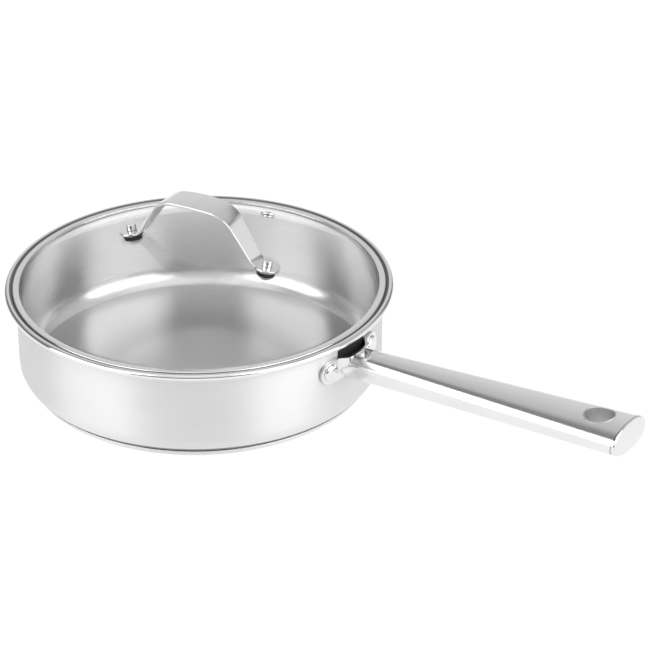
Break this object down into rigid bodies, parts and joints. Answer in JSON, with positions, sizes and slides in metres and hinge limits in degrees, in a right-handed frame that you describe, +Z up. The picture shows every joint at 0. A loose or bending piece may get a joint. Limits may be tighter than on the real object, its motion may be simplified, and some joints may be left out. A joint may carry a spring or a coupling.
{
  "type": "saute pan with lid",
  "caption": "Low steel saute pan with a flared rim, a long riveted hollow handle and a loose domed glass lid with a bent strap handle.",
  "frame": {"origin": "on the table, under the middle of the pan's round base", "axes": "+X along the long handle, away from the pan; +Z up, out of the pan"},
  "size_m": [0.4511, 0.256, 0.1264],
  "materials": {
    "polished_steel": "polished stainless steel",
    "brushed_steel": "stainless steel brushed along its length",
    "aluminium_core": "plain rolled aluminium",
    "lid_glass": "clear toughened glass",
    "black_silicone": "matt moulded silicone"
  },
  "bodies": {
    "pan": {"pan_body": "polished_steel", "base_core": "aluminium_core", "base_cap": "polished_steel", "handle_bracket": "polished_steel", "handle_rivet_left": "polished_steel", "handle_rivet_right": "polished_steel", "handle_tube": "brushed_steel", "handle_end_cap": "polished_steel", "hanging_sleeve": "polished_steel"},
    "lid": {"lid_glass": "lid_glass", "lid_band": "polished_steel", "vent_eyelet": "polished_steel", "lid_handle": "brushed_steel", "lid_cap_nut_left": "polished_steel", "lid_cap_nut_right": "polished_steel", "lid_foot_gasket_left": "black_silicone", "lid_foot_gasket_right": "black_silicone", "lid_under_gasket_left": "black_silicone", "lid_under_gasket_right": "black_silicone", "lid_washer_left": "polished_steel", "lid_washer_right": "polished_steel", "lid_screw_left": "polished_steel", "lid_screw_right": "polished_steel"}
  },
  "joints": [
    {"name": "lid_lift", "type": "slide", "parent": "pan", "child": "lid", "axis": [0, 0, 1], "range_m": [0, 0.15]}
  ]
}
